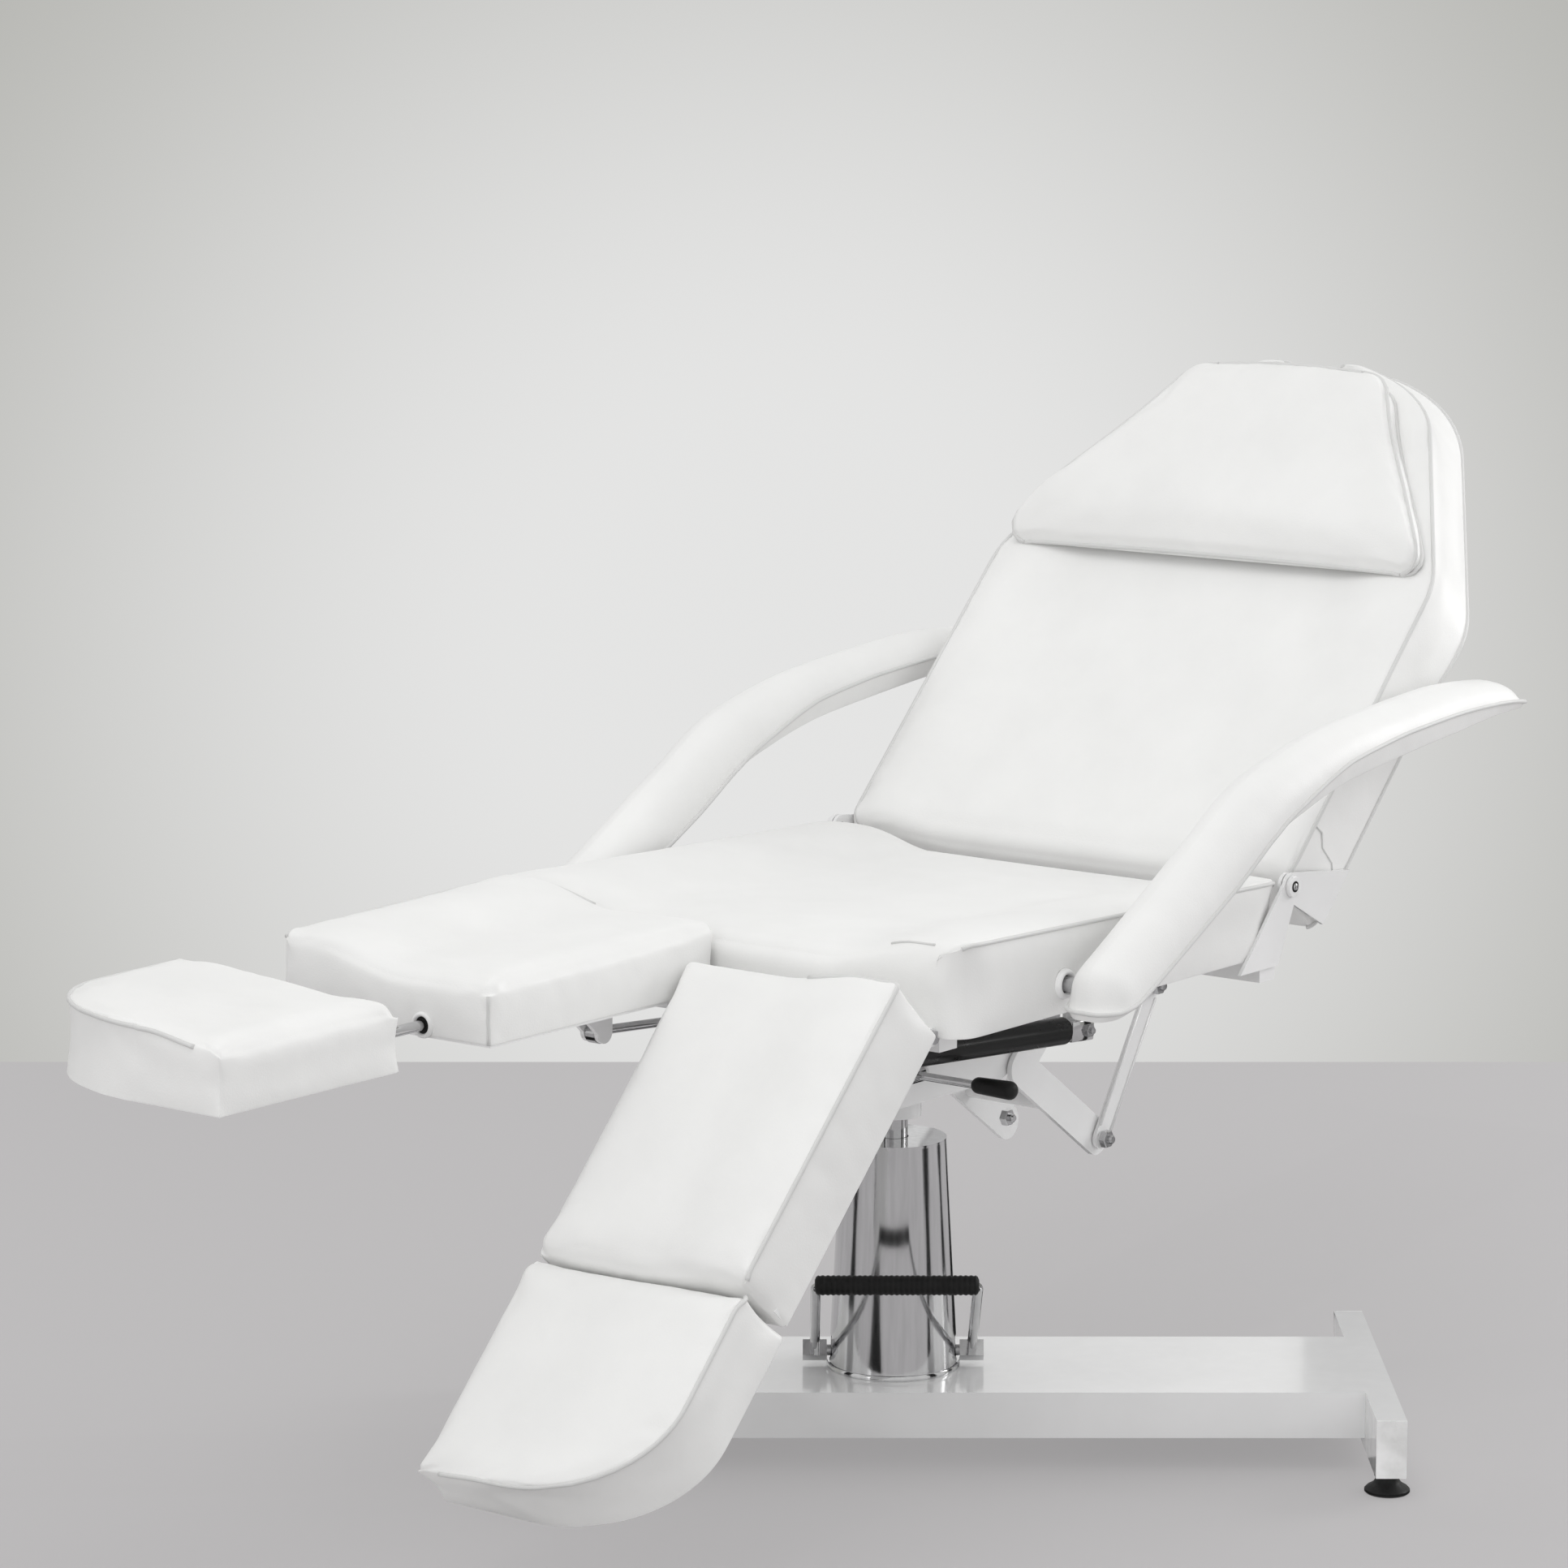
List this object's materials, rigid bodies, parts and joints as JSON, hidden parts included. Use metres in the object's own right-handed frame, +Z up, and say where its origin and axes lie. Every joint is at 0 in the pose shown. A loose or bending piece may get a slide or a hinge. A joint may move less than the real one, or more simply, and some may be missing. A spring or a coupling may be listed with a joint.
{
  "type": "hydraulic treatment bed",
  "caption": "Foot-pumped hydraulic treatment chair that folds into a bed, with reclining back, linked armrests, head pillow and split leg rests that lift and pull out.",
  "frame": {"origin": "on the floor, on the axis of the column", "axes": "+X towards the head end, +Y to the sitter's right, +Z up"},
  "size_m": [1.8977, 1.032, 1.1281],
  "materials": {
    "upholstery": "smooth white faux leather",
    "white_paint": "glossy white powder coat",
    "chrome": "polished chrome",
    "column_steel": "polished stainless steel",
    "steel": "zinc-plated steel",
    "black_paint": "satin black",
    "black_rubber": "ribbed matt rubber",
    "black_plastic": "moulded plastic",
    "white_plastic": "moulded plastic",
    "plywood": "plain plywood"
  },
  "bodies": {
    "base": {"base_beam": "white_paint", "base_crossbars": "white_paint", "crossbar_plugs": "white_plastic", "levelling_feet": "black_plastic", "foot_studs": "steel", "pump_flange": "steel", "flange_bolts": "steel", "pump_cylinder": "steel", "cylinder_gland": "black_plastic", "column_cover": "column_steel", "column_cap": "column_steel", "pedal_bearings": "steel"},
    "pedal": {"pedal_yoke": "steel", "pedal_clamps": "chrome", "pedal_bar": "chrome", "pedal_grip": "black_rubber"},
    "lift": {"lift_ram": "chrome"},
    "carrier": {"swivel_hub": "white_paint", "carrier_frame": "white_paint", "crank_shaft": "steel", "seat_frame": "white_paint", "leg_hinge_rod": "steel", "seat_board": "plywood", "seat_cushion": "upholstery", "arm_pivot_blocks": "steel", "arm_grommets": "white_plastic", "seat_hinge_plates": "white_paint", "back_hinge_bolts": "chrome", "gas_cylinders": "black_paint", "strut_anchors": "white_paint", "lock_lever_bracket": "white_paint"},
    "lock_lever": {"lock_lever_rod": "chrome", "lock_lever_grip": "black_plastic"},
    "backrest": {"back_cushion": "upholstery", "back_arm_blocks": "steel", "back_board": "plywood", "back_hinge_plates": "white_paint", "back_horns": "white_paint"},
    "pillow": {"head_pillow": "upholstery"},
    "crank": {"crank": "white_paint"},
    "link": {"link_straps": "white_paint"},
    "left_lower_arm": {"left_lower_arm_pad": "upholstery", "left_lower_arm_bar": "white_paint"},
    "left_upper_arm": {"left_upper_arm_pad": "upholstery", "left_upper_arm_bar": "white_paint"},
    "left_leg": {"left_calf_cushion": "upholstery", "left_calf_frame": "white_paint"},
    "left_foot": {"left_foot_cushion": "upholstery", "left_foot_rods": "chrome"},
    "left_gas_strut": {"left_gas_rod": "chrome"},
    "right_lower_arm": {"right_lower_arm_pad": "upholstery", "right_lower_arm_bar": "white_paint"},
    "right_upper_arm": {"right_upper_arm_pad": "upholstery", "right_upper_arm_bar": "white_paint"},
    "right_leg": {"right_calf_cushion": "upholstery", "right_calf_frame": "white_paint"},
    "right_foot": {"right_foot_cushion": "upholstery", "right_foot_rods": "chrome"},
    "right_gas_strut": {"right_gas_rod": "chrome"}
  },
  "joints": [
    {"name": "seat_lift", "type": "slide", "parent": "base", "child": "lift", "axis": [0, 0, 1], "range_m": [-0.015, 0.135]},
    {"name": "seat_swivel", "type": "hinge", "parent": "lift", "child": "carrier", "pos_m": [0, 0, 0.4], "axis": [0, 0, 1], "continuous": true},
    {"name": "pedal_press", "type": "hinge", "parent": "base", "child": "pedal", "pos_m": [0, 0, 0.103], "axis": [0.6157, -0.788, 0], "range_deg": [0, 30], "stiffness_Nm_per_rad": 8, "springref_deg": -28.65},
    {"name": "lock_lever_press", "type": "hinge", "parent": "carrier", "child": "lock_lever", "pos_m": [-0.065, -0.074, 0.43], "axis": [1, 0, 0], "range_deg": [0, 25], "stiffness_Nm_per_rad": 1.2, "springref_deg": -22.92},
    {"name": "back_recline", "type": "hinge", "parent": "carrier", "child": "backrest", "pos_m": [0.3, 0, 0.606], "axis": [0, -1, 0], "range_deg": [-45, 30]},
    {"name": "pillow_lift_off", "type": "slide", "parent": "backrest", "child": "pillow", "axis": [-0.7071, 0, 0.7071], "range_m": [0, 0.1]},
    {"name": "crank_turn", "type": "hinge", "parent": "carrier", "child": "crank", "pos_m": [0.2, 0, 0.448], "axis": [0, -1, 0], "range_deg": [-45, 30]},
    {"name": "link_turn", "type": "hinge", "parent": "crank", "child": "link", "pos_m": [0.293, 0, 0.2945], "axis": [0, -1, 0], "range_deg": [-30, 45]},
    {"name": "left_arm_turn", "type": "hinge", "parent": "carrier", "child": "left_lower_arm", "pos_m": [-0.12, -0.327, 0.566], "axis": [0, -1, 0], "range_deg": [-45, 30]},
    {"name": "left_elbow_turn", "type": "hinge", "parent": "left_lower_arm", "child": "left_upper_arm", "pos_m": [0.17203, -0.32, 0.76187], "axis": [0, -1, 0], "range_deg": [-30, 45]},
    {"name": "left_leg_lift", "type": "hinge", "parent": "carrier", "child": "left_leg", "pos_m": [-0.3, -0.146, 0.536], "axis": [0, 1, 0], "range_deg": [0, 45.5]},
    {"name": "left_foot_pull", "type": "slide", "parent": "left_leg", "child": "left_foot", "axis": [-0.7009, 0, -0.7133], "range_m": [0, 0.13]},
    {"name": "left_strut_slide", "type": "slide", "parent": "carrier", "child": "left_gas_strut", "axis": [-0.9969, 0, 0.0781], "range_m": [0, 0.039]},
    {"name": "right_arm_turn", "type": "hinge", "parent": "carrier", "child": "right_lower_arm", "pos_m": [-0.12, 0.327, 0.566], "axis": [0, -1, 0], "range_deg": [-45, 30]},
    {"name": "right_elbow_turn", "type": "hinge", "parent": "right_lower_arm", "child": "right_upper_arm", "pos_m": [0.17203, 0.32, 0.76187], "axis": [0, -1, 0], "range_deg": [-30, 45]},
    {"name": "right_leg_lift", "type": "hinge", "parent": "carrier", "child": "right_leg", "pos_m": [-0.3, 0.146, 0.536], "axis": [0, 1, 0], "range_deg": [-45.5, 0]},
    {"name": "right_foot_pull", "type": "slide", "parent": "right_leg", "child": "right_foot", "axis": [-1, 0, 0], "range_m": [-0.123, 0.007]},
    {"name": "right_strut_slide", "type": "slide", "parent": "carrier", "child": "right_gas_strut", "axis": [-0.9969, 0, 0.0781], "range_m": [-0.039, 0]}
  ],
  "couplings": [
    {"joint": "crank_turn", "follows": "back_recline", "ratio": 1},
    {"joint": "link_turn", "follows": "back_recline", "ratio": -1},
    {"joint": "left_arm_turn", "follows": "back_recline", "ratio": 1},
    {"joint": "left_elbow_turn", "follows": "back_recline", "ratio": -1},
    {"joint": "left_strut_slide", "follows": "left_leg_lift", "m_per_rad": 0.048742},
    {"joint": "right_arm_turn", "follows": "back_recline", "ratio": 1},
    {"joint": "right_elbow_turn", "follows": "back_recline", "ratio": -1},
    {"joint": "right_strut_slide", "follows": "right_leg_lift", "m_per_rad": 0.048742}
  ]
}
